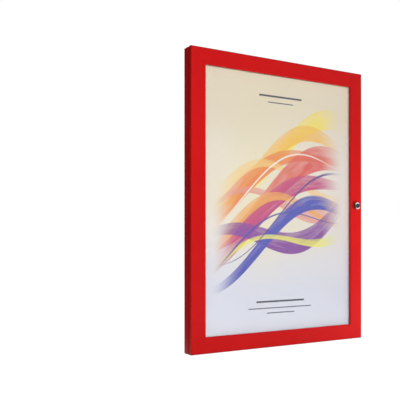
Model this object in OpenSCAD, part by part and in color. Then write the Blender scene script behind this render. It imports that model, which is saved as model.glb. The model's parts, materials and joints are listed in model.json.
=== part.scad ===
// Wall mounted poster case: a fixed aluminium case, a glazed door on a full length hinge, and a cam lock.
// X is to the right, Z is up and the wall is the plane Y = 0, so the case stands forward of it towards -Y.
// Distances forward of the wall are called depths, and distances in from the outer edge are called insets.

/* [Poster] */
// Width of the poster sheet
poster_w = 594; // [420:1:841]
// Height of the poster sheet
poster_h = 841; // [594:1:1189]
// Thickness of the poster sheet
poster_t = 0.3; // [0.2:0.05:0.5]
// How far the door frame covers each edge of the poster
poster_cover = 10; // [8:0.5:11]
// Gap between the poster's edge and the case's front wall
poster_gap = 0.5; // [0.3:0.1:1]
// Thickness of the board that holds the poster close behind the glazing
board_t = 4; // [3:0.1:4]
// Length of a poster magnet
magnet_l = 40; // [20:1:60]
// Width of a poster magnet
magnet_w = 5; // [4:0.5:5.5]
// Thickness of a poster magnet
magnet_t = 1.5; // [1:0.1:1.6]
// Distance from the poster's side edge to its magnets
magnet_inset = 25; // [5:1:60]
// Distance from the poster's top or bottom edge to its magnets
magnet_edge = 0.5; // [0:0.1:1]

/* [Frame] */
// Width of the door frame's face
face_w = 50; // [49:0.5:60]
// Depth of the closed case from the wall to the face
case_depth = 44; // [38:0.5:60]
// Thickness of the door from its back to its face
door_t = 14.5; // [14.3:0.1:16]
// Space between the fixed case and the door's back wall
door_space = 3; // [2.9:0.1:3.3]
// Gap between the two rims that shows along the sides
parting_gap = 1; // [0.8:0.1:1.4]
// Wall thickness of the profiles
wall = 2; // [1.8:0.05:2.1]
// Radius along the door's outer edge
edge_r = 2; // [0.4:0.1:2]
// Radius along the opening's edge
lip_r = 1.2; // [0.3:0.1:1.4]
// Radius along the case's rear edge
rear_edge_r = 0.5; // [0.2:0.1:1]
// Half of the hairline gap in each mitre
mitre_gap = 0.12; // [0.02:0.01:0.2]
// Length of a corner cleat's arm
cleat_arm = 70; // [50:1:80]
// Thickness of a cleat's web and flanges
cleat_web = 4; // [3:0.5:5]
// Clearance of a cleat in the profiles
cleat_clear = 0.2; // [0.1:0.05:0.4]
// Gap between a cleat and the wall round the hinge's rebate
cleat_gap = 1; // [0.5:0.1:2]
// Distance from the end of a cleat's arm to its screw
cleat_screw_inset = 15; // [8:1:25]

/* [Back panel] */
// Thickness of the back panel
panel_t = 3; // [2:0.1:4]
// Depth of the panel's edge in its groove
panel_edge = 5; // [3:0.5:5]
// Thickness of the lip behind the panel
lip_t = 1.5; // [1:0.1:2.5]
// Clearance of the panel in its groove, each side
groove_clear = 0.1; // [0.05:0.05:0.2]
// Gap between the panel's edge and the bottom of its groove
panel_gap = 0.5; // [0.3:0.1:1]

/* [Glazing] */
// How far the glazing lies behind the door's face
glass_recess = 7.2; // [6:0.1:7.6]
// Thickness of the glazing
glass_t = 3; // [2:0.1:3.2]
// How far the frame covers the glazing's edge
glass_cover = 12.5; // [8:0.5:13]
// Gap between the glazing's edge and the door frame
glass_gap = 1.5; // [1:0.1:2]
// Thickness of the gasket behind the glazing
gasket_t = 1; // [0.6:0.1:1.4]
// Width of the gasket
gasket_w = 6; // [4:0.5:6.5]
// Distance from the glazing's edge to the gasket
gasket_inset = 0.5; // [0.2:0.1:1]
// Width of the glazing bead at the gasket
bead_w = 9; // [7:0.5:9.5]
// Height of the nib that holds the glazing bead
nib = 1; // [0.6:0.1:1.2]
// Clearance of the bead behind the nib and beside the door frame
bead_clear = 0.1; // [0.05:0.05:0.2]

/* [Hinge] */
// Radius of the hinge pin
pin_r = 1.5; // [1.2:0.05:1.8]
// Running clearance between the pin and a knuckle
pin_clear = 0.05; // [0.02:0.01:0.1]
// Radius of the pin's heads
pin_head_r = 2.1; // [1.8:0.1:2.5]
// Thickness of the pin's heads
pin_head_t = 0.8; // [0.5:0.1:0.8]
// Outer radius of a knuckle
knuckle_r = 3; // [2.6:0.1:3.2]
// Distance from the frame's side to the knuckles
knuckle_inset = 0.2; // [0.1:0.1:0.5]
// Clearance between the knuckles and the rebates
rebate_clear = 0.7; // [0.5:0.1:1]
// Clearance between a leaf's plate and the rebate
leaf_clear = 0.1; // [0.05:0.05:0.3]
// Thickness of a hinge leaf
leaf_t = 1.2; // [1:0.05:1.3]
// Width of a hinge leaf's plate
leaf_w = 19; // [14:0.5:20]
// Number of knuckles, which the two leaves take in turn
knuckle_count = 20; // [8:2:30]
// Gap between neighbouring knuckles
knuckle_gap = 0.3; // [0.2:0.05:0.6]
// Distance from the frame's end to the end of the barrel
hinge_inset = 0.9; // [0.9:0.1:2.4]
// Distance from the frame's end to the end of a leaf's plate, which clears the frame's rim
leaf_end = 2.5; // [2.4:0.1:40]
// Screws in each leaf
hinge_screw_count = 8; // [4:2:12]
// Distance from the frame's end to the first hinge screw
hinge_screw_inset = 110; // [95:1:200]
// How far the door opens
swing = 105; // [95:1:110]
// Clearance between the open door's edge and the case
swing_clear = 0.6; // [0.4:0.1:1]

/* [Lock] */
// Radius of the lock's barrel
barrel_r = 8.5; // [8:0.1:8.6]
// Width across the barrel's two flats
barrel_flats = 15; // [14.6:0.1:16]
// Clearance of the barrel in the door's face
barrel_clear = 0.1; // [0.05:0.05:0.2]
// Clearance between the barrel and the slot in the fixed case
slot_clear = 1.3; // [0.8:0.1:1.4]
// Clearance between the upright cam and the slot
cam_clear = 1.5; // [0.8:0.1:2]
// Radius of the lock's head
head_r = 12; // [10.5:0.1:13]
// How far the head stands out of the door's face
head_h = 6; // [4.5:0.1:9]
// Radius of the head's rounded edge
head_round = 2; // [0.5:0.1:2.5]
// Radius of the plug in the barrel
plug_r = 6.5; // [6:0.05:6.6]
// Radius of the plug's face
plug_head_r = 7.9; // [7.2:0.1:8.4]
// Thickness of the plug's face
plug_head_t = 2.6; // [2:0.1:3.5]
// How far the plug's face lies behind the head's
plug_recess = 0.4; // [0.2:0.1:1]
// Width of the chamfer round the plug's face
head_chamfer = 0.5; // [0.2:0.1:1]
// Running clearance of the plug
plug_clear = 0.05; // [0.02:0.01:0.1]
// Width of the keyway
key_w = 1.4; // [1:0.1:1.8]
// Extra width of the keyway's step
key_step = 0.7; // [0.4:0.1:1]
// Distance from the plug's side to the keyway
key_margin = 2.3; // [1.5:0.1:3]
// Depth of the keyway behind the door's face
key_depth = 8; // [5:0.5:9]
// Length of the cam from the lock's axis to its tip
cam_l = 17; // [14:0.5:18]
// Width of the cam
cam_w = 12; // [9:0.5:13]
// Thickness of the cam
cam_t = 2; // [1.5:0.1:2.4]
// Radius of the cam's round end at the plug
cam_hub_r = 8; // [7:0.1:8.5]
// Width across the plug's square tail, which the cam sits on
tail_w = 7; // [6:0.1:8]
// Clearance of the cam on the tail, each side
tail_clear = 0.05; // [0.02:0.01:0.1]
// Gap between the cam and the barrel
cam_seat = 0.6; // [0.3:0.1:0.8]
// Gap between the cam and the wall that it locks behind
cam_gap = 0.9; // [0.5:0.1:1.4]
// Width across the flats of the lock's nut
nut_af = 21.5; // [20:0.1:21.6]
// Thickness of the lock's nut
nut_t = 3.5; // [2.5:0.1:4.5]
// Thickness of the washer under the nut
washer_t = 1; // [0.6:0.1:1.4]
// Width of the hole that the nut goes in through
nut_hole_w = 22.8; // [22.4:0.1:23]
// Height of the hole that the nut goes in through
nut_hole_h = 29.5; // [27:0.5:34]
// Thickness of the strike plate
strike_t = 1; // [0.8:0.1:1.5]
// How far the strike plate reaches past the slot, up and down
strike_margin = 14; // [11:0.5:20]
// Distance from the frame's side to the strike plate
strike_inset = 9.5; // [9:0.5:10.5]
// How far the strike plate reaches past the profile's chamber
strike_reach = 1; // [0:0.5:2]

/* [Fasteners] */
// Shank radius of the countersunk screws
screw_r = 1.75; // [1.5:0.05:2]
// Head radius of the countersunk screws
screw_head_r = 2.95; // [2.8:0.05:3.1]
// Length of the countersunk screws
screw_l = 10; // [8:0.5:11]
// Clearance round a screw's shank
screw_clear = 0.08; // [0.04:0.01:0.15]
// Length of the cross recess in a screw's head
recess_l = 3; // [2.4:0.1:3.4]
// Width of the cross recess
recess_w = 0.6; // [0.5:0.1:0.8]
// Depth of the cross recess
recess_depth = 0.8; // [0.6:0.1:0.9]
// Head radius of the cam's screw
cam_screw_head_r = 5; // [4:0.1:6]
// Head thickness of the cam's screw
cam_screw_head_t = 2.4; // [1.8:0.1:3]
// Length of the cross recess in the cam's screw
cam_recess_l = 4.8; // [3.5:0.1:6]
// Width of the cross recess in the cam's screw
cam_recess_w = 0.9; // [0.7:0.1:1.2]
// Depth of the cross recess in the cam's screw
cam_recess_depth = 1.4; // [1:0.1:1.6]
// Shank radius of the cam's screw
cam_screw_r = 1.95; // [1.5:0.05:2.4]
// Length of the cam's screw in the plug
cam_screw_l = 10; // [6:0.5:11]

/* [Wall fixings] */
// Radius of the wall fixing holes
fixing_r = 3; // [2.5:0.1:3.5]
// Distance from the end of a cleat's arm to a wall fixing hole
fixing_gap = 17.1; // [10:0.1:60]
// Distance from the frame's top or bottom edge to a wall fixing hole
fixing_inset = 18; // [17.5:0.1:20]
// Radius of the access holes in front of them
access_r = 7; // [6:0.1:7.2]
// Clearance of a cover plug in its access hole
cover_clear = 0.05; // [0.02:0.01:0.1]
// Thickness of a cover plug's collar
cover_wall = 1.5; // [1:0.1:2]
// How far a cover plug's collar reaches behind the case's front wall
cover_tail = 1; // [0.5:0.1:2]
// How far a cover plug's flange covers the wall round its hole
cover_rim = 1.7; // [1:0.1:2]
// Thickness of a cover plug's flange
cover_t = 0.8; // [0.5:0.1:1.2]

/* [Seal] */
// Width of the weather seal
seal_w = 3.5; // [2.5:0.1:3.6]
// Distance from the frame's edge to the seal
seal_inset = 4.5; // [4:0.1:4.6]
// Gap between the seal and the closed door
seal_gap = 0.3; // [0.2:0.05:0.5]
// Gap between the seal and the hinge's leaf
seal_leaf_gap = 1.5; // [0.5:0.1:2]

/* [Hidden] */
$fn = 48;

// Colours
red_coat = "#c81e1e";
bare_aluminium = "#b9bcc0";
bright_chrome = "#d9dbde";
zinc_steel = "#a9acb0";
black_rubber = "#1d1d1f";
white_face = "#eceae6";
print_ground = "#e4dccd";
clear_sheet = [0.85, 0.92, 0.95, 0.3];

// Overall size
poster_inset = face_w - poster_cover;
outer_w = poster_w + 2 * poster_inset;
outer_h = poster_h + 2 * poster_inset;
overcut = 1;

// Fixed case: insets and depths of its walls
rear_depth = case_depth - door_t - door_space;
lip_end = poster_inset - poster_gap;
case_chamber_w = lip_end - panel_edge - panel_gap;
rim_mid = rear_depth + door_space / 2;
case_rim = rim_mid - parting_gap / 2;
groove_front = rear_depth - wall;
panel_front = groove_front - groove_clear;
groove_back = panel_front - panel_t - groove_clear;
board_front = panel_front + board_t;
poster_front = board_front + poster_t;

// Door: insets and depths of its walls
door_back = rear_depth + door_space;
door_rim = rim_mid + parting_gap / 2;
glass_front = case_depth - glass_recess;
glass_back = glass_front - glass_t;
gasket_back = glass_back - gasket_t;
glass_inset = face_w - glass_cover;
door_chamber_w = glass_inset - glass_gap;

// Hinge: the pin's axis, and the rebates that let the door swing round it
pivot_inset = knuckle_inset + knuckle_r;
pivot_x = pivot_inset - outer_w / 2;
pivot_depth = rim_mid;
swing_reach = pivot_inset * (sin(swing) - (1 - cos(swing)) * cos(swing) / sin(swing));
rebate_w = pivot_inset + knuckle_r + rebate_clear;
case_rebate_depth = pivot_depth - swing_reach - swing_clear;
door_rebate_depth = pivot_depth + knuckle_r + rebate_clear;
leaf_inset = rebate_w + leaf_clear;
leaf_mid_x = leaf_inset + leaf_w / 2 - outer_w / 2;
hinge_l = outer_h - 2 * hinge_inset;
plate_l = outer_h - 2 * leaf_end;
knuckle_pitch = hinge_l / knuckle_count;
knuckle_l = knuckle_pitch - knuckle_gap;

// Cleats
cleat_start = rebate_w + wall + cleat_gap;
case_cleat_end = case_chamber_w - wall - cleat_clear;
door_cleat_end = door_chamber_w - wall - cleat_clear;
head_depth = screw_head_r - screw_r;

// Lock
slot_r = barrel_r + slot_clear;
lock_inset = case_chamber_w - wall - cleat_clear - slot_r;
lock_x = outer_w / 2 - lock_inset;
cam_front = groove_front - cam_gap;
cam_back = cam_front - cam_t;
barrel_back = cam_front + cam_seat;
barrel_l = case_depth - barrel_back + overcut;
plug_face = case_depth + head_h - plug_recess;
plug_shoulder = plug_face - plug_head_t;
nut_front = case_depth - wall - washer_t;
strike_end = case_chamber_w + strike_reach;
strike_top = cam_l + cam_clear + strike_margin;
strike_bottom = -slot_r - strike_margin;
strike_screw_zs = [strike_top - strike_margin / 2, strike_bottom + strike_margin / 2];

// Places of fixings
fixing_side = cleat_start + cleat_arm + fixing_gap;
fixing_points = [
    for (x = [-1, 1], z = [-1, 1])
        [x * (outer_w / 2 - fixing_side), z * (outer_h / 2 - fixing_inset)]
];
hinge_screw_span = outer_h - 2 * hinge_screw_inset;
hinge_screw_zs = [
    for (i = [0:hinge_screw_count - 1]) hinge_screw_span * (i / (hinge_screw_count - 1) - 0.5)
];
cleat_screw_along = cleat_start + cleat_arm - cleat_screw_inset;
function cleat_points(end) = [
    for (x = [-1, 1], z = [-1, 1], across = [true, false])
        [
            x * (outer_w / 2 - (across ? cleat_screw_along : (cleat_start + end) / 2)),
            z * (outer_h / 2 - (across ? (cleat_start + end) / 2 : cleat_screw_along))
        ]
];

// Extrudes an outline drawn in X and Z from one depth to another
module forward(from, to) {
    translate([0, -from, 0]) rotate([90, 0, 0]) linear_extrude(height = to - from) children();
}

// Stands a solid drawn along +Z on its side, so that it points forward from the wall
module forward_at(x, z) {
    translate([x, 0, z]) rotate([90, 0, 0]) children();
}

// Rectangle between two insets and two depths
module strip(inset_0, inset_1, depth_0, depth_1) {
    translate([inset_0, depth_0]) square([inset_1 - inset_0, depth_1 - depth_0]);
}

// Rectangle as large as the frame, less an inset on every side
module inset_sheet(inset) {
    square([outer_w - 2 * inset, outer_h - 2 * inset], center = true);
}

// What a rounded edge leaves over: the turn points the material's quadrant away from the corner
module edge_waste(inset, depth, turn, r) {
    translate([inset, depth]) rotate(turn) difference() {
        translate([-overcut, -overcut]) square(r + overcut);
        translate([r, r]) circle(r);
    }
}

function side_length(side) = (side == "left" || side == "right") ? outer_h : outer_w;

// Takes a bar whose X is the inset, Y the depth and Z its length to one side of the frame
module on_side(side) {
    turn = side == "bottom" ? 0 : side == "right" ? -90 : side == "top" ? 180 : 90;
    half = (side == "left" || side == "right") ? outer_w / 2 : outer_h / 2;
    rotate([0, turn, 0]) translate([0, 0, -half]) rotate([180, 0, 0]) rotate([0, 90, 0]) children();
}

// All that belongs to one side: a block whose ends are cut to 45 degrees
module mitre_block(side) {
    half = side_length(side) / 2 - mitre_gap;
    on_side(side) rotate([90, 0, 0]) linear_extrude(height = 3 * case_depth, center = true)
        polygon([[0, -half], [0, half], [face_w, half - face_w], [face_w, face_w - half]]);
}

// Extrudes a section to a side's length, mitred at both ends
module mitred_bar(side) {
    intersection() {
        on_side(side) linear_extrude(height = side_length(side), center = true) children();
        mitre_block(side);
    }
}

// A bar less the rebate that runs up the hinge side: the first child is the bar's section,
// the second the rebate and the third the walls that close the chamber round it
module rebated_bar(side) {
    difference() {
        mitred_bar(side) children(0);
        on_side("left") linear_extrude(height = outer_h + 2 * overcut, center = true) children(1);
    }
    intersection() {
        on_side("left") linear_extrude(height = outer_h, center = true) children(2);
        mitre_block(side);
    }
}

// Hollow section of the fixed case, with the back panel's groove on its inner side
module case_section() {
    difference() {
        union() {
            strip(0, case_chamber_w, 0, wall);
            strip(0, wall, 0, case_rim);
            strip(0, lip_end, groove_front, rear_depth);
            strip(case_chamber_w - wall, case_chamber_w, 0, rear_depth);
            strip(case_chamber_w - wall, lip_end, groove_back - lip_t, groove_back);
        }
        edge_waste(0, 0, 0, rear_edge_r);
    }
}

module case_bar(side) {
    if (side == "right") mitred_bar(side) case_section();
    else rebated_bar(side) {
        case_section();
        strip(-overcut, rebate_w, case_rebate_depth, case_depth);
        union() {
            strip(0, rebate_w + wall, case_rebate_depth - wall, case_rebate_depth);
            strip(rebate_w, rebate_w + wall, case_rebate_depth - wall, rear_depth);
        }
    }
}

// Hollow section of the door, with the lip that the glazing lies behind
module door_section() {
    difference() {
        union() {
            strip(0, face_w, case_depth - wall, case_depth);
            strip(0, wall, door_rim, case_depth);
            strip(0, door_chamber_w, door_back, door_back + wall);
            strip(door_chamber_w - wall, door_chamber_w, door_back, case_depth);
            strip(door_chamber_w - wall, door_chamber_w + nib, door_back, door_back + nib);
            strip(face_w - wall, face_w, glass_front, case_depth);
        }
        edge_waste(0, case_depth, -90, edge_r);
        edge_waste(face_w, case_depth, 180, lip_r);
    }
}

module door_bar(side) {
    if (side == "right") mitred_bar(side) door_section();
    else rebated_bar(side) {
        door_section();
        strip(-overcut, rebate_w, 0, door_rebate_depth);
        union() {
            strip(0, rebate_w + wall, door_rebate_depth, door_rebate_depth + wall);
            strip(rebate_w, rebate_w + wall, door_back, door_rebate_depth + wall);
        }
    }
}

// Glazing bead, cut back on its inner side so that it stays out of sight
module bead_section() {
    start = door_chamber_w + bead_clear;
    bottom = door_back + nib + bead_clear;
    polygon([
        [start, bottom],
        [start + bead_w - (gasket_back - bottom), bottom],
        [start + bead_w, gasket_back],
        [start, gasket_back]
    ]);
}

// Countersunk screw whose head is flush with its origin and whose shank points along +Z
module countersunk_screw() {
    difference() {
        union() {
            cylinder(h = head_depth, r1 = screw_head_r, r2 = screw_r);
            cylinder(h = screw_l, r = screw_r);
        }
        for (turn = [0, 90])
            rotate(turn) translate([-recess_l / 2, -recess_w / 2, -overcut])
                cube([recess_l, recess_w, overcut + recess_depth]);
    }
}

module countersunk_hole() {
    translate([0, 0, -overcut]) cylinder(h = overcut, r = screw_head_r);
    cylinder(h = head_depth, r1 = screw_head_r, r2 = screw_r);
    cylinder(h = screw_l + overcut, r = screw_r + screw_clear);
}

// Puts a screw or its hole at a depth, pointing forward or, when back is true, towards the wall
module at_points(points, depth, back = false) {
    for (p = points)
        translate([p[0], -depth, p[1]]) rotate([back ? -90 : 90, 0, 0]) children();
}

hinge_points = [for (z = hinge_screw_zs) [leaf_mid_x, z]];
strike_points = [for (z = strike_screw_zs) [lock_x, z]];

// Outline that the barrel and the upright cam pass through
module cam_slot() {
    translate([lock_x, 0]) {
        circle(slot_r);
        translate([-cam_w / 2 - cam_clear, 0]) square([cam_w + 2 * cam_clear, cam_l + cam_clear]);
    }
}

// Corner piece: an angle with arms along both sides, hollowed from the front
module corner_cleats(end, depth_0, depth_1) {
    for (across = [0, 1], up = [0, 1])
        mirror([across, 0, 0]) mirror([0, 0, up]) translate([-outer_w / 2, 0, -outer_h / 2])
            difference() {
                forward(depth_0, depth_1) angle_outline(cleat_start, end, cleat_arm);
                forward(depth_0 + cleat_web, depth_1 + overcut)
                    angle_outline(cleat_start + cleat_web, end - cleat_web, cleat_arm - 2 * cleat_web);
            }
}

module angle_outline(start, end, arm) {
    polygon([
        [start, start], [start + arm, start], [start + arm, end],
        [end, end], [end, start + arm], [start, start + arm]
    ]);
}

module case_rail(side) {
    color(red_coat) difference() {
        case_bar(side);
        at_points(cleat_points(case_cleat_end), 0) countersunk_hole();
        if (side == "left") at_points(hinge_points, rear_depth + leaf_t, true) countersunk_hole();
        if (side == "right") {
            forward(groove_front - overcut, rear_depth + overcut) cam_slot();
            at_points(strike_points, rear_depth + strike_t, true) countersunk_hole();
        }
        if (side == "top" || side == "bottom")
            for (p = fixing_points) {
                forward(-overcut, wall + overcut) translate(p) circle(fixing_r);
                forward(groove_front - overcut, rear_depth + overcut) translate(p) circle(access_r);
            }
    }
}

module door_rail(side) {
    color(red_coat) difference() {
        door_bar(side);
        at_points(cleat_points(door_cleat_end), door_back) countersunk_hole();
        if (side == "left") at_points(hinge_points, door_back - leaf_t) countersunk_hole();
        if (side == "right") {
            forward(case_depth - wall - overcut, case_depth + overcut) barrel_outline(barrel_clear);
            forward(door_back - overcut, door_back + wall + overcut) translate([lock_x, 0])
                square([nut_hole_w, nut_hole_h], center = true);
        }
    }
}

module barrel_outline(clear) {
    translate([lock_x, 0]) intersection() {
        circle(barrel_r + clear);
        square([3 * barrel_r, barrel_flats + 2 * clear], center = true);
    }
}

module case_corner_cleats() {
    color(bare_aluminium) difference() {
        corner_cleats(case_cleat_end, wall + cleat_clear, groove_front - cleat_clear);
        at_points(cleat_points(case_cleat_end), 0) countersunk_hole();
    }
}

module case_cleat_screws() {
    color(zinc_steel) at_points(cleat_points(case_cleat_end), 0) countersunk_screw();
}

module back_panel() {
    color(white_face) forward(panel_front - panel_t, panel_front) inset_sheet(case_chamber_w + panel_gap);
}

module poster_board() {
    color(white_face) forward(panel_front, board_front) square([poster_w, poster_h], center = true);
}

module poster_sheet() {
    color(print_ground) forward(board_front, poster_front) square([poster_w, poster_h], center = true);
}

module poster_magnets() {
    half_x = poster_w / 2 - magnet_inset - magnet_l / 2;
    half_z = poster_h / 2 - magnet_edge - magnet_w / 2;
    color(black_rubber) for (x = [-half_x, half_x], z = [-half_z, half_z])
        forward(poster_front, poster_front + magnet_t)
            translate([x, z]) square([magnet_l, magnet_w], center = true);
}

// The seal goes inside the hinge leaf on the left and close to the edge on the other sides
module weather_seal() {
    left = leaf_inset + leaf_w + seal_leaf_gap;
    color(black_rubber) forward(rear_depth, door_back - seal_gap) difference() {
        translate([left - outer_w / 2, seal_inset - outer_h / 2])
            square([outer_w - left - seal_inset, outer_h - 2 * seal_inset]);
        translate([left + seal_w - outer_w / 2, seal_inset + seal_w - outer_h / 2])
            square([outer_w - left - seal_inset - 2 * seal_w, outer_h - 2 * (seal_inset + seal_w)]);
    }
}

module access_hole_plugs() {
    color(black_rubber) for (p = fixing_points) {
        forward(groove_front - cover_tail, rear_depth + cover_t / 2) translate(p) difference() {
            circle(access_r - cover_clear);
            circle(access_r - cover_clear - cover_wall);
        }
        forward(rear_depth, rear_depth + cover_t) translate(p) circle(access_r + cover_rim);
    }
}

// One leaf: every second knuckle from the first, bridged to a plate beside the barrel
module hinge_leaf(first, depth_0, depth_1) {
    difference() {
        union() {
            translate([leaf_inset - outer_w / 2, -depth_1, -plate_l / 2])
                cube([leaf_w, depth_1 - depth_0, plate_l]);
            for (i = [first:2:knuckle_count - 1]) {
                bottom = i * knuckle_pitch + knuckle_gap / 2 - hinge_l / 2;
                bridge_bottom = max(bottom, -plate_l / 2);
                bridge_top = min(bottom + knuckle_l, plate_l / 2);
                translate([pivot_x, -pivot_depth, bottom]) cylinder(h = knuckle_l, r = knuckle_r);
                translate([pivot_x, -depth_1, bridge_bottom])
                    cube([leaf_inset - pivot_inset + overcut, depth_1 - depth_0, bridge_top - bridge_bottom]);
            }
        }
        translate([pivot_x, -pivot_depth, -hinge_l / 2 - overcut])
            cylinder(h = hinge_l + 2 * overcut, r = pin_r + pin_clear);
    }
}

module hinge_leaf_case() {
    color(red_coat) difference() {
        hinge_leaf(0, rear_depth, rear_depth + leaf_t);
        at_points(hinge_points, rear_depth + leaf_t, true) countersunk_hole();
    }
}

module hinge_leaf_door() {
    color(red_coat) difference() {
        hinge_leaf(1, door_back - leaf_t, door_back);
        at_points(hinge_points, door_back - leaf_t) countersunk_hole();
    }
}

module hinge_pin() {
    color(zinc_steel) translate([pivot_x, -pivot_depth, -hinge_l / 2]) {
        cylinder(h = hinge_l, r = pin_r);
        for (end = [-pin_head_t, hinge_l]) translate([0, 0, end]) cylinder(h = pin_head_t, r = pin_head_r);
    }
}

module hinge_screws_case() {
    color(zinc_steel) at_points(hinge_points, rear_depth + leaf_t, true) countersunk_screw();
}

module hinge_screws_door() {
    color(zinc_steel) at_points(hinge_points, door_back - leaf_t) countersunk_screw();
}

module strike_plate() {
    color(zinc_steel) difference() {
        forward(rear_depth, rear_depth + strike_t) difference() {
            translate([outer_w / 2 - strike_end, strike_bottom])
                square([strike_end - strike_inset, strike_top - strike_bottom]);
            cam_slot();
        }
        at_points(strike_points, rear_depth + strike_t, true) countersunk_hole();
    }
}

module strike_screws() {
    color(zinc_steel) at_points(strike_points, rear_depth + strike_t, true) countersunk_screw();
}

module door_corner_cleats() {
    color(bare_aluminium) difference() {
        corner_cleats(door_cleat_end, door_back + wall + cleat_clear, case_depth - wall - cleat_clear);
        at_points(cleat_points(door_cleat_end), door_back) countersunk_hole();
    }
}

module door_cleat_screws() {
    color(zinc_steel) at_points(cleat_points(door_cleat_end), door_back) countersunk_screw();
}

module glazing_sheet() {
    color(clear_sheet) forward(glass_back, glass_front) inset_sheet(glass_inset);
}

module glazing_gasket() {
    color(black_rubber) forward(gasket_back, glass_back) difference() {
        inset_sheet(glass_inset + gasket_inset);
        inset_sheet(glass_inset + gasket_inset + gasket_w);
    }
}

module glazing_bead(side) {
    color(black_rubber) mitred_bar(side) bead_section();
}

// Lock parts are drawn round the lock's axis, with Z as the depth
module lock_housing() {
    color(bright_chrome) forward_at(lock_x, 0) difference() {
        union() {
            translate([0, 0, case_depth]) rotate_extrude() {
                square([head_r, head_h - head_round]);
                square([head_r - head_round, head_h]);
                translate([head_r - head_round, head_h - head_round]) circle(head_round);
            }
            intersection() {
                translate([0, 0, barrel_back]) cylinder(h = barrel_l, r = barrel_r);
                translate([0, 0, case_depth]) cube([3 * barrel_r, barrel_flats, 2 * case_depth], center = true);
            }
        }
        cylinder(h = case_depth + head_h + overcut, r = plug_r + plug_clear);
        translate([0, 0, plug_shoulder])
            cylinder(h = head_h, r = plug_head_r + plug_clear);
        translate([0, 0, case_depth + head_h - head_chamfer])
            cylinder(h = head_chamfer, r1 = plug_head_r + plug_clear, r2 = plug_head_r + head_chamfer);
    }
}

module lock_washer() {
    color(zinc_steel) forward(nut_front, case_depth - wall) difference() {
        translate([lock_x, 0]) circle(nut_af / 2);
        barrel_outline(barrel_clear);
    }
}

module lock_nut() {
    hex_r = nut_af / sqrt(3);
    color(zinc_steel) forward(nut_front - nut_t, nut_front) translate([lock_x, 0]) difference() {
        rotate(30) circle(hex_r, $fn = 6);
        circle(barrel_r + barrel_clear);
    }
}

module lock_plug() {
    key_half = plug_r - key_margin;
    color(bright_chrome) forward_at(lock_x, 0) difference() {
        union() {
            translate([0, 0, plug_shoulder + plug_clear])
                cylinder(h = plug_face - plug_shoulder - plug_clear, r = plug_head_r);
            translate([0, 0, cam_front]) cylinder(h = plug_face - cam_front, r = plug_r);
            translate([-tail_w / 2, -tail_w / 2, cam_back]) cube([tail_w, tail_w, cam_t + overcut]);
        }
        translate([-key_half, -key_w / 2, case_depth - key_depth])
            cube([2 * key_half, key_w, key_depth + head_h]);
        translate([-key_half, -key_w / 2 - key_step, case_depth - key_depth])
            cube([key_half, key_step + overcut / 2, key_depth + head_h]);
        translate([0, 0, cam_back - overcut])
            cylinder(h = cam_screw_l + 2 * overcut, r = cam_screw_r + screw_clear);
    }
}

// The cam points up when the lock is open
module lock_cam() {
    color(zinc_steel) forward(cam_back, cam_front) translate([lock_x, 0]) difference() {
        union() {
            circle(cam_hub_r);
            translate([-cam_w / 2, 0]) square([cam_w, cam_l - cam_w / 2]);
            translate([0, cam_l - cam_w / 2]) circle(cam_w / 2);
        }
        square(tail_w + 2 * tail_clear, center = true);
    }
}

module cam_screw() {
    color(zinc_steel) forward_at(lock_x, 0) difference() {
        union() {
            translate([0, 0, cam_back - cam_screw_head_t])
                cylinder(h = cam_screw_head_t, r = cam_screw_head_r);
            translate([0, 0, cam_back - overcut]) cylinder(h = cam_screw_l + overcut, r = cam_screw_r);
        }
        for (turn = [0, 90])
            translate([0, 0, cam_back - cam_screw_head_t - overcut]) rotate(turn)
                translate([-cam_recess_l / 2, -cam_recess_w / 2, 0])
                    cube([cam_recess_l, cam_recess_w, overcut + cam_recess_depth]);
    }
}

case_rail("left");  // case_profile_left
case_rail("right");  // case_profile_right
case_rail("top");  // case_profile_top
case_rail("bottom");  // case_profile_bottom
case_corner_cleats();
case_cleat_screws();
back_panel();
poster_board();
poster_sheet();
poster_magnets();
weather_seal();
access_hole_plugs();
hinge_leaf_case();
hinge_pin();
hinge_screws_case();
strike_plate();
strike_screws();
door_rail("left");  // door_profile_left
door_rail("right");  // door_profile_right
door_rail("top");  // door_profile_top
door_rail("bottom");  // door_profile_bottom
door_corner_cleats();
door_cleat_screws();
glazing_sheet();
glazing_gasket();
glazing_bead("left");  // glazing_bead_left
glazing_bead("right");  // glazing_bead_right
glazing_bead("top");  // glazing_bead_top
glazing_bead("bottom");  // glazing_bead_bottom
hinge_leaf_door();
hinge_screws_door();
lock_housing();
lock_washer();
lock_nut();
lock_plug();
lock_cam();
cam_screw();
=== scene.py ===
"""Dressed model of a wall mounted poster case, with a pale floor, soft lamps and a camera.

Every CAD node gets its material, and the two soft seals are laid anew with their real sections.
Lengths are metres. X is to the right, Z is up, and the case stands forward of its wall towards -Y.
"""

import json
import math

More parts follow.
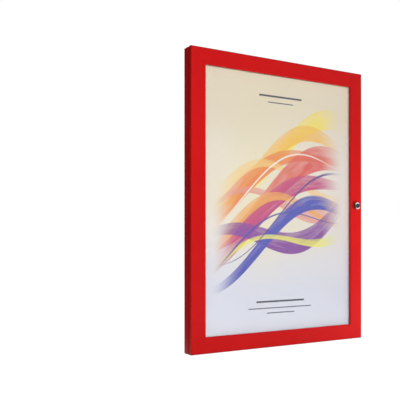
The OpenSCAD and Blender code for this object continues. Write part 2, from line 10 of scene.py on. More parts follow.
import bmesh
import bpy
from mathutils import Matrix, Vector


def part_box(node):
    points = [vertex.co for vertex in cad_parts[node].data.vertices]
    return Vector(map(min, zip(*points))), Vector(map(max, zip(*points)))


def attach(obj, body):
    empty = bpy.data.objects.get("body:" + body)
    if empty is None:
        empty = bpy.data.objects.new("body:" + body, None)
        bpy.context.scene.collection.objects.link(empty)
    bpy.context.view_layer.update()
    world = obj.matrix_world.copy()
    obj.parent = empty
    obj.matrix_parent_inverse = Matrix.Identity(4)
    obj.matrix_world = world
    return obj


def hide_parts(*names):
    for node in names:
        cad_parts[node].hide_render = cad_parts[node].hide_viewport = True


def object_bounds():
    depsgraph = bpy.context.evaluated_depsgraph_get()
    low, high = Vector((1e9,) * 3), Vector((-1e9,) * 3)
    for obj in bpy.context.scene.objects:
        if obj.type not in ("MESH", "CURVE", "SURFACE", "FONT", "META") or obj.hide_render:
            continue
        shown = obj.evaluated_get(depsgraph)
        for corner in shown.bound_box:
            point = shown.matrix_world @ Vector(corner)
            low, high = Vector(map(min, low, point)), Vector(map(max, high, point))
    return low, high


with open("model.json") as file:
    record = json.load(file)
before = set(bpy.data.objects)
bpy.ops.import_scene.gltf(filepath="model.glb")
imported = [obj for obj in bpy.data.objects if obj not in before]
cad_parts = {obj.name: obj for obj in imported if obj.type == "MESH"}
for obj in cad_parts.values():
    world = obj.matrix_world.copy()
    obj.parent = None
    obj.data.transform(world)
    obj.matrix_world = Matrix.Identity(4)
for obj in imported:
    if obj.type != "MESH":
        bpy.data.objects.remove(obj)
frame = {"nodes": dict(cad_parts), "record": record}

NODES = frame["nodes"]
RECORD = frame["record"]
cad_low, cad_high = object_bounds()

# Camera: its place and heading follow from the case's outline in the picture
CAMERA_PLACE = (-1.1754, -1.6272, -0.1114)
CAMERA_HEADING = math.radians(28.744)
CAMERA_LENS = 54.42
CAMERA_SENSOR = 36.0
CAMERA_SHIFT = 0.09465

# Floor: side, its own white and how much that varies, and the share and strength of the glow seen on it
FLOOR_SIZE = 30.0
FLOOR_WHITE = 0.8
FLOOR_SPECKLE = 0.02
FLOOR_SEEN = 0.9
FLOOR_GLOW = 1.11
# Behind the wall and to the left, metal and sheen see it dark: where that begins and is full, in X and in Y
DARK_FLOOR_X = (0.0, -0.35)
DARK_FLOOR_Y = (0.0, 0.25)
# Even light of the studio on matt surfaces
AMBIENT = 0.17
# Dark parts of the studio, for metal and sheen alone: direction, and where each begins and is full
DARK_PARTS = [((-0.46, 0.89, 0.0), 0.1, 0.8), ((0.98, -0.17, 0.0), 0.82, 0.94)]
DARK_SHARE = 0.98
# Lamps: name, place, aim, size and power
LAMPS = [
    ("key", (-0.58, -2.2, 0.32), (0.0, -0.02, 0.0), 0.6, 29.3),
    ("side", (-1.45, -1.75, -0.12), (0.0, -0.02, 0.0), 0.5, 6.5),
    ("fill", (0.92, -0.27, -0.24), (0.30, -0.04, -0.10), 0.10, 5.0),
    ("rear", (0.9, 2.0, 1.3), (0.0, 0.0, 0.0), 1.0, 40.0),
]
# The fill comes from low on the right, and a flag keeps it off what lies behind the glazing
FLAGGED = {"fill": ["poster_sheet", "poster_board", "back_panel"]}

# The middle of a noise's range, where most of it lies
MIDDLE = (0.3, 0.7)


def grey(level):
    return (level, level, level, 1.0)


class Nodes:
    """The node tree of a material or the world, with short calls for the nodes that they use."""

    def __init__(self, owner):
        self.owner = owner
        owner.use_nodes = True
        self.tree = owner.node_tree
        self.tree.nodes.clear()
        self.coordinates = self.add("ShaderNodeTexCoord").outputs
        self.place = self.coordinates["Object"]

    def add(self, kind, inputs=None, **settings):
        """Adds a node: each input is linked to another node's output, or gets a value of its own."""
        node = self.tree.nodes.new(kind)
        for name, value in settings.items():
            setattr(node, name, value)
        for key, value in (inputs or {}).items():
            if isinstance(value, bpy.types.NodeSocket):
                self.tree.links.new(value, node.inputs[key])
            else:
                node.inputs[key].default_value = value
        return node

    def maths(self, operation, a, b=0.0):
        return self.add("ShaderNodeMath", {0: a, 1: b}, operation=operation).outputs[0]

    def plus(self, a, b):
        return self.maths("ADD", a, b)

    def minus(self, a, b):
        return self.maths("SUBTRACT", a, b)

    def times(self, a, b):
        return self.maths("MULTIPLY", a, b)

    def unsigned(self, value):
        return self.maths("ABSOLUTE", value)

    def vectors(self, operation, a, b):
        """Vector arithmetic: a distance or dot product is a value, and anything else a vector."""
        result = self.add("ShaderNodeVectorMath", {0: a, 1: b}, operation=operation).outputs
        return result["Value" if operation in ("DISTANCE", "DOT_PRODUCT") else "Vector"]

    def apart(self, vector):
        """A vector's X, Y and Z."""
        return self.add("ShaderNodeSeparateXYZ", {0: vector}).outputs

    def joined(self, **axes):
        """A vector of the given X, Y and Z, with 0 for those that aren't given."""
        return self.add("ShaderNodeCombineXYZ", axes).outputs[0]

    def stretched(self, scale):
        """The object's coordinates, scaled along each axis."""
        return self.add("ShaderNodeMapping", {"Vector": self.place, "Scale": scale}).outputs["Vector"]

    def noise(self, scale, detail, vector=None):
        """Noise with about that many lumps to the metre."""
        inputs = {"Vector": vector or self.place, "Scale": scale, "Detail": detail}
        return self.add("ShaderNodeTexNoise", inputs).outputs["Fac"]

    def span(self, value, low, high, to_low=0.0, to_high=1.0, smooth=False):
        """Maps low..high of a value to to_low..to_high, and holds it there outside."""
        inputs = {"Value": value, "From Min": low, "From Max": high, "To Min": to_low, "To Max": to_high}
        kind = "SMOOTHSTEP" if smooth else "LINEAR"
        return self.add("ShaderNodeMapRange", inputs, interpolation_type=kind).outputs["Result"]

    def blend(self, share, a, b):
        """Mixes colour b over colour a."""
        inputs = {0: share, 6: a, 7: b}
        return self.add("ShaderNodeMix", inputs, data_type="RGBA", blend_type="MIX").outputs[2]

    def bump(self, height, distance, strength):
        inputs = {"Height": height, "Distance": distance, "Strength": strength}
        return self.add("ShaderNodeBump", inputs).outputs["Normal"]

    def edges(self, radius):
        """1 along sharp edges and 0 on flat faces."""
        rounded = self.add("ShaderNodeBevel", {"Radius": radius}, samples=4).outputs["Normal"]
        flat = self.add("ShaderNodeNewGeometry").outputs["Normal"]
        return self.span(self.vectors("DOT_PRODUCT", rounded, flat), 0.995, 0.8)

    def rubbed(self, colour, radius, level):
        """Lays a grey of the given level over a colour, along the sharp edges."""
        return self.blend(self.edges(radius), colour, grey(level))

    def seen(self):
        """1 for rays from the camera, and those that metal and glass send on, but 0 past a matt surface."""
        path = self.add("ShaderNodeLightPath").outputs
        share = path["Is Camera Ray"]
        for name in ("Is Glossy Ray", "Is Transmission Ray"):
            share = self.maths("MAXIMUM", share, path[name])
        return self.times(share, self.maths("LESS_THAN", path["Diffuse Depth"], 0.5))

    def mirrored(self):
        """1 for rays that metal and sheen send on, but 0 for those that went through the clear sheet."""
        path = self.add("ShaderNodeLightPath").outputs
        return self.maths("GREATER_THAN", path["Is Glossy Ray"], path["Is Transmission Ray"])

    def mixed(self, share, one, two):
        """Mixes shader two over shader one."""
        return self.add("ShaderNodeMixShader", {0: share, 1: one.outputs[0], 2: two.outputs[0]})

    def finish(self, shader, output="ShaderNodeOutputMaterial"):
        """Ends the tree with a shader, and returns its material or world."""
        self.add(output, {"Surface": shader.outputs[0]})
        return self.owner

    def surface(self, **inputs):
        """Finishes the material with one Principled shader: the inputs' names have _ for each space."""
        named = {name.replace("_", " "): value for name, value in inputs.items()}
        return self.finish(self.add("ShaderNodeBsdfPrincipled", named))

    def grained(self, grain, rough, distance, strength, grain_ends=MIDDLE, **inputs):
        """Finishes the material with a grain that stands up, and takes it from one roughness to another."""
        roughness = self.span(grain, *grain_ends, *rough)
        return self.surface(Roughness=roughness, Normal=self.bump(grain, distance, strength), **inputs)


def new_material(name):
    return Nodes(bpy.data.materials.new(name))


def lock_front():
    """The middle of the lock plug's front, and the plug's radius."""
    low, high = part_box("lock_plug")
    return ((low.x + high.x) / 2, low.y, (low.z + high.z) / 2), (high.x - low.x) / 2


# Powder coat: its own red, clouds, specks in the grain, painted shade along the edges, the painted shadow
# round the lock, and rubbed edges
COAT_RED = (0.556, 0.0040, 0.0046, 1.0)
COAT_CLOUD = (0.520, 0.0030, 0.0036, 1.0)
COAT_SPECK = (0.62, 0.0085, 0.0085, 1.0)
COAT_EDGE_SHADE = (0.24, 0.0028, 0.0040, 1.0)
COAT_LOCK_SHADOW = (0.20, 0.0025, 0.0030, 1.0)
COAT_RUBBED = (0.70, 0.05, 0.045, 1.0)
# Painted shade along the edges: the radius of all sharp ones, the width of the border round the door's face,
# and their shares
EDGE_RADIUS = 0.0016
EDGE_SHADE_SHARE = 0.8
BORDER_SHADE_WIDTH = 0.0036
BORDER_SHADE_SHARE = 0.85
# Painted shadow round the lock's head: its middle's distance in X and Z from the lock's, and the radii where
# it begins and is full
LOCK_SHADOW_SHIFT = (-0.006, 0.002)
LOCK_SHADOW_RADII = (0.0195, 0.0135)
LOCK_SHADOW_SHARE = 0.65


def face_border_shade(n, width):
    """Mask of the painted shade: 1 at the top, bottom and free edges of the door's face, and 0 from the
    given distance inwards.
    """
    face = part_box("door_profile_left")[0].y
    apart = n.apart(n.place)
    beside = n.minus(apart["X"], cad_high.x)
    above = n.minus(n.unsigned(apart["Z"]), cad_high.z)
    near = n.span(n.maths("MAXIMUM", beside, above), -width, -0.3 * width, smooth=True)
    return n.times(near, n.span(apart["Y"], face + width, face + 0.5 * width))


def powder_coat():
    """Red coat with faint clouds, orange peel about 2 mm across and a fine grain.

    It has painted shade along its edges and round the door's face, and a painted shadow round the lock's
    head that reaches further to its left.
    """
    n = new_material("red_powder_coat")
    (x, y, z), _ = lock_front()
    # Painted shadow round the lock's head, reaching further to its left and a little up
    spot = (x + LOCK_SHADOW_SHIFT[0], y, z + LOCK_SHADOW_SHIFT[1])
    away = n.vectors("DISTANCE", n.place, spot)
    lock_shadow = n.span(away, *LOCK_SHADOW_RADII, 0.0, LOCK_SHADOW_SHARE, smooth=True)
    clouds = n.span(n.noise(5.0, 3.0), *MIDDLE)
    peel = n.noise(480.0, 1.0)
    grain = n.noise(2400.0, 2.0)
    edge = n.edges(EDGE_RADIUS)
    # Painted shade along the sharp edges and round the border of the door's face
    border_shade = face_border_shade(n, BORDER_SHADE_WIDTH)
    edge_shade = n.maths("MAXIMUM", n.times(edge, EDGE_SHADE_SHARE), n.times(border_shade, BORDER_SHADE_SHARE))
    rubbed = n.times(edge, n.span(n.noise(120.0, 4.0), 0.62, 0.72))
    colour = n.blend(clouds, COAT_CLOUD, COAT_RED)
    colour = n.blend(n.span(grain, 0.55, 0.75, 0.0, 0.3), colour, COAT_SPECK)
    colour = n.blend(edge_shade, colour, COAT_EDGE_SHADE)
    colour = n.blend(lock_shadow, colour, COAT_LOCK_SHADOW)
    colour = n.blend(rubbed, colour, COAT_RUBBED)
    height = n.plus(peel, n.times(grain, 0.15))
    return n.surface(
        Base_Color=colour,
        Roughness=n.span(grain, *MIDDLE, 0.40, 0.52),
        Specular_IOR_Level=0.22,
        Normal=n.bump(height, 0.00012, 0.35),
    )


def cast_metal():
    """Corner cleats as cast: grey, matt and pitted, brighter where they have rubbed."""
    n = new_material("cast_aluminium")
    colour = n.blend(n.span(n.noise(60.0, 3.0), *MIDDLE), grey(0.42), grey(0.56))
    colour = n.rubbed(colour, 0.0008, 0.72)
    return n.grained(n.noise(700.0, 4.0), (0.42, 0.62), 0.0003, 0.6, Base_Color=colour, Metallic=1.0)


# Steels: name, colour, scale of the grain along each axis, and the two ends of the roughness
ZINC = ("zinc_plate", (0.62, 0.63, 0.66), (900.0, 900.0, 900.0), (0.26, 0.42))
STAINLESS = ("brushed_steel", (0.66, 0.66, 0.65), (2600.0, 2600.0, 30.0), (0.22, 0.36))


def plated_steel(name, colour, grain_scale, rough):
    """Plated or brushed steel with dull patches and bright edges. The grain runs along the least scale."""
    n = new_material(name)
    dull = tuple(0.82 * c for c in colour)
    base = n.blend(n.span(n.noise(110.0, 3.0), *MIDDLE), (*dull, 1.0), (*colour, 1.0))
    base = n.rubbed(base, 0.0004, 0.86)
    drawn = n.noise(1.0, 3.0, n.stretched(grain_scale))
    return n.grained(drawn, rough, 0.00005, 0.4, Base_Color=base, Metallic=1.0)


# Chrome of the lock's head: clean, marked, its painted dark reflections to the sides, the painted shade on
# its rim's wall, and the plug's satin face painted dark as a reflection
CHROME_CLEAN = (0.80, 0.81, 0.83, 1.0)
CHROME_MARKED = (0.70, 0.70, 0.71, 1.0)
CHROME_SIDE_REFLECTION = (0.05, 0.05, 0.045, 1.0)
CHROME_WALL_SHADE = (0.22, 0.2, 0.2, 1.0)
PLUG_DARK_REFLECTION = (0.025, 0.03, 0.03, 1.0)
PLUG_PALE_REFLECTION = (0.075, 0.08, 0.08, 1.0)
SATIN_EDGE = 0.0003
# Painted reflection: the head stays bright up and down this line through its middle and is painted dark to
# both sides: cosines to the line where dark and bright
REFLECTION_LINE = (-0.19, 0.0, 0.98)
REFLECTION_COSINES = (0.45, 0.8)
SIDE_REFLECTION_SHARE = 0.95
# Painted shade on the rim's wall: how far a normal points along Y, on the front and on the rim's wall
SHADED_WALL_NORMALS = (0.5, 0.2)
# Turned rings, 0.24 mm apart: radians to the metre
RING_RATE = 26000.0
SCRATCH_SCALE = (6000.0, 6000.0, 700.0)


def chrome():
    """Lock chrome: nearly a mirror, scratched, with painted dark reflections to both sides and painted shade
    on its rim's wall. The plug's face is satin, painted dark as a reflection.
    """
    n = new_material("chrome_plate")
    (x, _, z), radius = lock_front()
    axis = (x, 0.0, z)
    apart = n.apart(n.place)
    flat = n.joined(X=apart["X"], Z=apart["Z"])
    away = n.vectors("DISTANCE", flat, axis)
    satin = n.span(away, radius, radius - SATIN_EDGE)
    rings = n.span(n.maths("SINE", n.times(away, RING_RATE)), -1.0, 1.0)
    # Painted dark reflections to both sides of the head, bright along the line
    along = n.vectors("DOT_PRODUCT", n.vectors("SUBTRACT", flat, axis), REFLECTION_LINE)
    side_reflection = n.span(n.maths("DIVIDE", n.unsigned(along), away), *REFLECTION_COSINES, SIDE_REFLECTION_SHARE, 0.0)
    facing = n.unsigned(n.apart(n.coordinates["Normal"])["Y"])
    # Painted shade on the rim's wall
    wall_shade = n.span(facing, *SHADED_WALL_NORMALS)
    scratches = n.noise(1.0, 4.0, n.stretched(SCRATCH_SCALE))
    marks = n.span(n.noise(160.0, 3.0), 0.5, 0.75)
    base = n.blend(marks, CHROME_CLEAN, CHROME_MARKED)
    # The plug's face is painted dark as a dark reflection, in turned rings
    base = n.blend(satin, base, n.blend(rings, PLUG_DARK_REFLECTION, PLUG_PALE_REFLECTION))
    base = n.rubbed(base, 0.0004, 0.95)
    base = n.blend(n.times(side_reflection, n.minus(1.0, satin)), base, CHROME_SIDE_REFLECTION)
    base = n.blend(wall_shade, base, CHROME_WALL_SHADE)
    rough = n.plus(n.span(scratches, 0.45, 0.7, 0.05, 0.12), n.times(marks, 0.08))
    rough = n.plus(rough, n.times(satin, 0.16))
    scratched = n.bump(scratches, 0.00002, 0.25)
    return n.surface(Base_Color=base, Metallic=1.0, Roughness=rough, Normal=scratched)


# Rubbers: name, grey level, and cells to the metre
SEAL_FOAM = ("seal_foam", 0.014, 1800.0)
SEAL_RUBBER = ("seal_rubber", 0.014, 1800.0)
GASKET_RUBBER = ("gasket_rubber", 0.018, 2600.0)
MAGNET_RUBBER = ("magnet_rubber", 0.02, 900.0)


def rubber(name, level, cell_scale):
    """Black rubber or foam: fine closed cells, a dusty bloom in patches and matt all over."""
    n = new_material(name)
    cells = n.add("ShaderNodeTexVoronoi", {"Vector": n.place, "Scale": cell_scale}).outputs["Distance"]
    colour = n.blend(n.span(n.noise(40.0, 4.0), 0.45, 0.75), grey(level), grey(level * 2.2))
    colour = n.rubbed(colour, 0.0006, level * 3.0)
    return n.grained(cells, (0.72, 0.9), 0.0002, 0.5, grain_ends=(0.0, 0.6), Base_Color=colour)


def moulded_plastic():
    """Black moulded plastic with a spark-eroded grain and paler, scuffed edges."""
    n = new_material("black_plastic")
    colour = n.blend(n.span(n.noise(70.0, 3.0), 0.4, 0.7), grey(0.012), grey(0.02))
    colour = n.rubbed(colour, 0.0006, 0.05)
    return n.grained(n.noise(1500.0, 2.0), (0.42, 0.6), 0.00012, 0.5, Base_Color=colour)


# White of the panel and of the board's face, and the off-white of dust and of hollows between fibres
PANEL_WHITE = (0.83, 0.82, 0.79, 1.0)
BOARD_WHITE = (0.78, 0.77, 0.74, 1.0)
OFF_WHITE = (0.70, 0.69, 0.65, 1.0)


def coil_coat():
    """White panel: smooth coil coat with a slight roll texture, faint dust and rubbed edges."""
    n = new_material("white_panel")
    dust = n.span(n.noise(14.0, 5.0), 0.45, 0.8, 0.0, 0.5)
    colour = n.rubbed(n.blend(dust, PANEL_WHITE, OFF_WHITE), 0.0008, 0.60)
    rolled = n.noise(1.0, 2.0, n.stretched((260.0, 260.0, 60.0)))
    return n.grained(rolled, (0.34, 0.46), 0.0001, 0.3, Base_Color=colour)


def paper_board():
    """Edge and back of a paper faced board: off-white, with fibres, and a little greyer where cut."""
    n = new_material("paper_board")
    fibres = n.noise(900.0, 4.0)
    colour = n.rubbed(n.blend(n.span(fibres, 0.35, 0.65), OFF_WHITE, BOARD_WHITE), 0.0006, 0.55)
    return n.grained(fibres, (0.7, 0.85), 0.0001, 0.4, Base_Color=colour)


# Tints of the light that the clear sheet bends, and of the light that goes straight through
CLEAR_TINT = (0.985, 0.995, 0.99, 1.0)
STRAIGHT_TINT = (0.985, 0.99, 0.987, 1.0)


def glazing():
    """Clear sheet, coated against glare and faintly wiped. Light for matt surfaces goes straight through."""
    n = new_material("clear_sheet")
    wiped = n.span(n.noise(1.0, 5.0, n.stretched((3.0, 3.0, 14.0))), 0.5, 0.8, 0.0, 0.018)
    coated = {"IOR": 1.49, "Specular IOR Level": 0.12, "Transmission Weight": 1.0}
    shader = n.add("ShaderNodeBsdfPrincipled", {"Base Color": CLEAR_TINT, "Roughness": wiped, **coated})
    straight = n.add("ShaderNodeBsdfTransparent", {"Color": STRAIGHT_TINT})
    path = n.add("ShaderNodeLightPath").outputs
    for kind in ("Is Shadow Ray", "Is Diffuse Ray"):
        shader = n.mixed(path[kind], shader, straight)
    return n.finish(shader)


# Print: a pale ground from sand to lilac, crossed by a skein of coloured ribbons between plain rules
SAND = (0.82, 0.71, 0.52, 1.0)
CREAM = (0.87, 0.78, 0.57, 1.0)
BLUSH = (0.84, 0.76, 0.75, 1.0)
LILAC = (0.75, 0.76, 0.87, 1.0)
MIST = (0.80, 0.83, 0.94, 1.0)
# Tints over the sand, in order: what each follows, where it begins and is full, its share and its colour
TINTS = [
    ("height", (0.42, 0.10), 1.0, CREAM),
    ("across", (-0.10, 0.28), 0.8, BLUSH),
    ("across", (-0.10, -0.28), 0.35, BLUSH),
    ("height", (0.12, 0.34), 0.85, SAND),
    ("slant", (-0.02, -0.32), 1.0, LILAC),
    ("height", (-0.26, -0.42), 1.0, MIST),
]
# How far the tints wander up and down, and how much sooner the lilac begins for each metre to the left
TINT_DRIFT = 0.16
LILAC_SLANT = 0.2
# The print is a little duller to the upper left: where that begins and is full, its share and its grey
DULL_X = (0.12, -0.26)
DULL_Z = (-0.05, 0.25)
DULL_SHARE = 0.12
DULL_GREY = 0.30

# Rules: height, half length and half thickness, with soft ends and sides
RULES = [
    (0.345, 0.085, 0.0030),
    (0.325, 0.050, 0.0017),
    (-0.316, 0.095, 0.0030),
    (-0.337, 0.125, 0.0017),
    (-0.353, 0.055, 0.0017),
]
RULE_INK = (0.035, 0.03, 0.05, 1.0)
RULE_SOFT_END = 0.0004
RULE_SOFT_SIDE = 0.0003

# Ribbons: middle height, slope, swing, phase, half width, ink, and the ink's share at the dense side
RIBBONS = [
    (0.150, 0.36, 0.075, 0.2, 0.034, (0.95, 0.74, 0.06), 0.95),
    (0.118, 0.30, 0.090, 0.9, 0.030, (0.93, 0.50, 0.05), 0.95),
    (0.086, 0.42, 0.060, 1.7, 0.040, (0.86, 0.22, 0.04), 1.1),
    (0.052, 0.24, 0.095, 2.4, 0.034, (0.93, 0.62, 0.20), 0.9),
    (0.030, 0.38, 0.070, 0.5, 0.044, (0.74, 0.08, 0.07), 1.1),
    (0.000, 0.30, 0.085, 3.1, 0.030, (0.80, 0.30, 0.24), 0.95),
    (-0.026, 0.44, 0.060, 1.2, 0.038, (0.56, 0.04, 0.20), 1.1),
    (-0.058, 0.28, 0.090, 2.0, 0.028, (0.90, 0.40, 0.06), 0.95),
    (-0.080, 0.36, 0.075, 3.8, 0.036, (0.24, 0.04, 0.34), 1.2),
    (-0.112, 0.32, 0.080, 0.7, 0.026, (0.05, 0.06, 0.46), 1.25),
    (-0.138, 0.40, 0.065, 2.7, 0.022, (0.88, 0.84, 0.12), 0.95),
    (0.066, 0.34, 0.080, 1.3, 0.0035, (0.97, 0.93, 0.88), 0.95),
    (-0.040, 0.36, 0.078, 0.1, 0.004, (0.10, 0.04, 0.26), 1.3),
    (-0.098, 0.38, 0.070, 1.9, 0.0045, (0.04, 0.05, 0.38), 1.3),
]
# Distance from the middle where they have faded out, and where they are full
RIBBON_FADE = (0.262, 0.150)
RIBBON_SOFT_EDGE = 0.0008
# Radians of swing and of twist to the metre, and radians of the twist's phase to one of the swing's
SWING_RATE = 9.0
TWIST_RATE = 7.0
TWIST_PHASE = 1.9
# Turned edge on, a ribbon keeps this share of its width, and its thin side has this share of its ink
NARROWEST = 0.3
THIN_SIDE = 0.74
# Strokes: their stretch along X, their scale, and the share of ink in the faint ones
STROKE_STRETCH = 5.0
STROKE_SCALE = 3.2
FAINT_STROKE = 0.78


def inked_ribbon(n, x, z, across, shape, colour):
    """Lays one ribbon over a colour: it swings and twists along X, in strokes that thin out to one side."""
    height, slope, swing, phase, half, ink, dense = shape
    wave = n.times(n.maths("SINE", n.plus(n.times(x, SWING_RATE), phase)), swing)
    middle = n.plus(n.plus(n.times(x, slope), height), wave)
    twist = n.maths("SINE", n.plus(n.times(x, TWIST_RATE), TWIST_PHASE * phase))
    reach = n.span(twist, -1.0, 1.0, NARROWEST * half, half)
    away = n.minus(z, middle)
    inside = n.span(n.minus(reach, n.unsigned(away)), -RIBBON_SOFT_EDGE, RIBBON_SOFT_EDGE)
    level = n.maths("DIVIDE", away, reach)
    thin = n.span(level, -1.0, 1.0, dense, THIN_SIDE * dense)
    along = n.joined(X=n.times(x, STROKE_STRETCH), Y=level, Z=phase)
    strokes = n.span(n.noise(STROKE_SCALE, 4.0, along), 0.35, 0.60, FAINT_STROKE, 1.0)
    share = n.times(n.times(inside, n.times(thin, strokes)), across)
    return n.blend(share, colour, (*ink, 1.0))


def printed_sheet():
    """Satin print: paper grain under the ink, with the ribbons inked one over another."""
    n = new_material("satin_print")
    apart = n.apart(n.place)
    x, z = apart["X"], apart["Z"]
    height = n.plus(z, n.times(n.minus(n.noise(3.2, 2.0), 0.5), TINT_DRIFT))
    slant = n.plus(height, n.times(n.maths("MINIMUM", x, 0.0), LILAC_SLANT))
    follows = {"height": height, "across": x, "slant": slant}
    colour = SAND
    for name, ends, share, tint in TINTS:
        colour = n.blend(n.span(follows[name], *ends, 0.0, share, smooth=True), colour, tint)
    dull = n.times(n.span(x, *DULL_X, 0.0, DULL_SHARE), n.span(z, *DULL_Z))
    colour = n.blend(dull, colour, grey(DULL_GREY))
    across = n.span(n.unsigned(x), *RIBBON_FADE, smooth=True)
    for shape in RIBBONS:
        colour = inked_ribbon(n, x, z, across, shape, colour)
    for rise, half_length, half_height in RULES:
        along = n.span(n.unsigned(x), half_length, half_length - RULE_SOFT_END)
        line = n.span(n.unsigned(n.minus(z, rise)), half_height, half_height - RULE_SOFT_SIDE)
        colour = n.blend(n.times(along, line), colour, RULE_INK)
    fibres = n.noise(1400.0, 3.0)
    colour = n.blend(n.span(fibres, *MIDDLE, 0.0, 0.05), colour, grey(0.35))
    return n.grained(fibres, (0.5, 0.62), 0.00006, 0.3, Base_Color=colour, Specular_IOR_Level=0.2)


# Half of a strip's section, from one side to the middle: share of the width, and share of the height
FOAM_SECTION = [(0.0, 0.0), (0.0, 0.42), (0.05, 0.66), (0.17, 0.87), (0.33, 0.97), (0.5, 1.0)]
RIBBED_SECTION = [
    (0.0, 0.0), (0.0, 0.72), (0.05, 0.93), (0.12, 1.0), (0.20, 0.93), (0.27, 0.62), (0.36, 0.52),
]
# Strips: node, width, radius of the inner corners, section, body and rubber
STRIPS = [
    ("weather_seal", 0.0035, 0.0015, FOAM_SECTION, "case", SEAL_FOAM),
    ("glazing_gasket", 0.006, 0.001, RIBBED_SECTION, "door", GASKET_RUBBER),
]
SHARP_ANGLE = math.radians(50)


def rounded_loop(low, high, inset, radius, steps=8):
    """Points of a rectangle in X and Z, inset and with rounded corners."""
    corners = [(high.x, high.z, 0), (low.x, high.z, 1), (low.x, low.z, 2), (high.x, low.z, 3)]
    points = []
    for x, z, quarter in corners:
        side_x = 1 if x == high.x else -1
        side_z = 1 if z == high.z else -1
        centre = (x - side_x * (inset + radius), z - side_z * (inset + radius))
        for step in range(steps + 1):
            angle = math.pi / 2 * (quarter + step / steps)
            points.append((centre[0] + radius * math.cos(angle), centre[1] + radius * math.sin(angle)))
    return points


def strip_round(node, width, bend, section, body, finish):
    """Lays a strip of the given section round the rectangle that a CAD node fills, in that node's place."""
    low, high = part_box(node)
    whole = section + [(1.0 - across, rise) for across, rise in reversed(section) if across < 0.5]
    work = bmesh.new()
    rings = []
    for across, rise in whole:
        inset = across * width
        loop = rounded_loop(low, high, inset, bend + width - inset)
        y = high.y - rise * (high.y - low.y)
        rings.append([work.verts.new((x, y, z)) for x, z in loop])
    count = len(rings[0])
    for one, two in zip(rings, rings[1:] + rings[:1]):
        for i in range(count):
            j = (i + 1) % count
            work.faces.new((one[i], one[j], two[j], two[i]))
    bmesh.ops.recalc_face_normals(work, faces=work.faces)
    mesh = bpy.data.meshes.new(node + "_strip")
    work.to_mesh(mesh)
    work.free()
    for face in mesh.polygons:
        face.use_smooth = True
    mesh.set_sharp_from_angle(angle=SHARP_ANGLE)
    mesh.materials.append(rubber(*finish))
    strip = bpy.data.objects.new(node + "_strip", mesh)
    bpy.context.scene.collection.objects.link(strip)
    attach(strip, body)
    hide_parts(node)


def dress_nodes():
    """Gives every CAD node the finish of its material slot."""
    finishes = {
        "red_coat": powder_coat(),
        "cast_aluminium": cast_metal(),
        "zinc_steel": plated_steel(*ZINC),
        "stainless": plated_steel(*STAINLESS),
        "white_panel": coil_coat(),
        "white_board": paper_board(),
        "print": printed_sheet(),
        "magnet_rubber": rubber(*MAGNET_RUBBER),
        "seal_rubber": rubber(*SEAL_RUBBER),
        "black_plastic": moulded_plastic(),
        "glazing": glazing(),
        "chrome": chrome(),
    }
    for part in RECORD["subparts"]:
        for place in NODES[part["node"]].material_slots:
            place.material = finishes[part["material_slot"]]


def plain_world():
    """Even grey light, and white where the camera, metal and glass see it, with dark parts for sheen."""
    world = bpy.data.worlds.new("studio")
    bpy.context.scene.world = world
    n = Nodes(world)
    dark = 0.0
    for direction, start, full in DARK_PARTS:
        turned = n.vectors("DOT_PRODUCT", n.coordinates["Generated"], direction)
        dark = n.maths("MAXIMUM", dark, n.span(turned, start, full, 0.0, DARK_SHARE, smooth=True))
    light = n.add("ShaderNodeBackground", {"Color": grey(1.0), "Strength": AMBIENT})
    level = n.minus(1.0, n.times(dark, n.mirrored()))
    white = n.add("ShaderNodeBackground", {"Color": grey(1.0), "Strength": level})
    n.finish(n.mixed(n.seen(), light, white), "ShaderNodeOutputWorld")


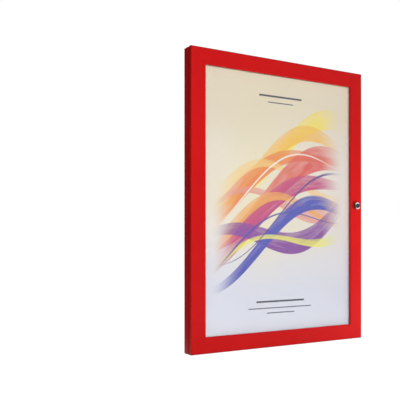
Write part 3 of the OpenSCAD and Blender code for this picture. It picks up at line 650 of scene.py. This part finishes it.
def pale_floor():
    """Floor under the case: mostly white to the camera, with a soft shadow and a part dark to sheen."""
    n = new_material("pale_floor")
    speckle = n.span(n.noise(30.0, 3.0), *MIDDLE, FLOOR_WHITE - FLOOR_SPECKLE, FLOOR_WHITE)
    matt = n.add("ShaderNodeBsdfDiffuse", {"Color": n.joined(X=speckle, Y=speckle, Z=speckle)})
    apart = n.apart(n.place)
    dark = n.times(n.span(apart["Y"], *DARK_FLOOR_Y), n.span(apart["X"], *DARK_FLOOR_X))
    level = n.span(n.times(dark, n.mirrored()), 0.0, 1.0, FLOOR_GLOW, 0.0)
    glow = n.add("ShaderNodeEmission", {"Color": grey(1.0), "Strength": level})
    material = n.finish(n.mixed(n.times(n.seen(), FLOOR_SEEN), matt, glow))
    half = FLOOR_SIZE / 2
    mesh = bpy.data.meshes.new("floor")
    corners = [(-half, -half), (half, -half), (half, half), (-half, half)]
    mesh.from_pydata([(x, y, cad_low.z) for x, y in corners], [], [(0, 1, 2, 3)])
    mesh.materials.append(material)
    floor = bpy.data.objects.new("floor", mesh)
    bpy.context.scene.collection.objects.link(floor)


def area_light(name, place, aim, size, power):
    """A soft round lamp, kept out of reflections: metal and glass see the white studio instead."""
    lamp = bpy.data.lights.new(name, "AREA")
    lamp.shape = "DISK"
    lamp.size = size
    lamp.energy = power
    holder = bpy.data.objects.new(name, lamp)
    holder.location = place
    holder.rotation_euler = (Vector(aim) - Vector(place)).to_track_quat("-Z", "Y").to_euler()
    holder.visible_camera = False
    holder.visible_glossy = False
    holder.visible_transmission = False
    bpy.context.scene.collection.objects.link(holder)
    if name in FLAGGED:
        keep_off(holder, FLAGGED[name])


def keep_off(holder, names):
    """Keeps a lamp's light off the named nodes."""
    flag = bpy.data.collections.new(holder.name + "_flag")
    for name in names:
        flag.objects.link(NODES[name])
    for link in flag.collection_objects:
        link.light_linking.link_state = "EXCLUDE"
    holder.light_linking.receiver_collection = flag


def make_camera():
    data = bpy.data.cameras.new("camera")
    data.lens = CAMERA_LENS
    data.sensor_width = CAMERA_SENSOR
    data.shift_y = CAMERA_SHIFT
    camera = bpy.data.objects.new("camera", data)
    camera.location = CAMERA_PLACE
    camera.rotation_euler = (math.pi / 2, 0.0, -CAMERA_HEADING)
    bpy.context.scene.collection.objects.link(camera)
    bpy.context.scene.camera = camera


bpy.context.scene.view_settings.view_transform = "Standard"
make_camera()
plain_world()
pale_floor()
for lamp in LAMPS:
    area_light(*lamp)
dress_nodes()
for strip in STRIPS:
    strip_round(*strip)
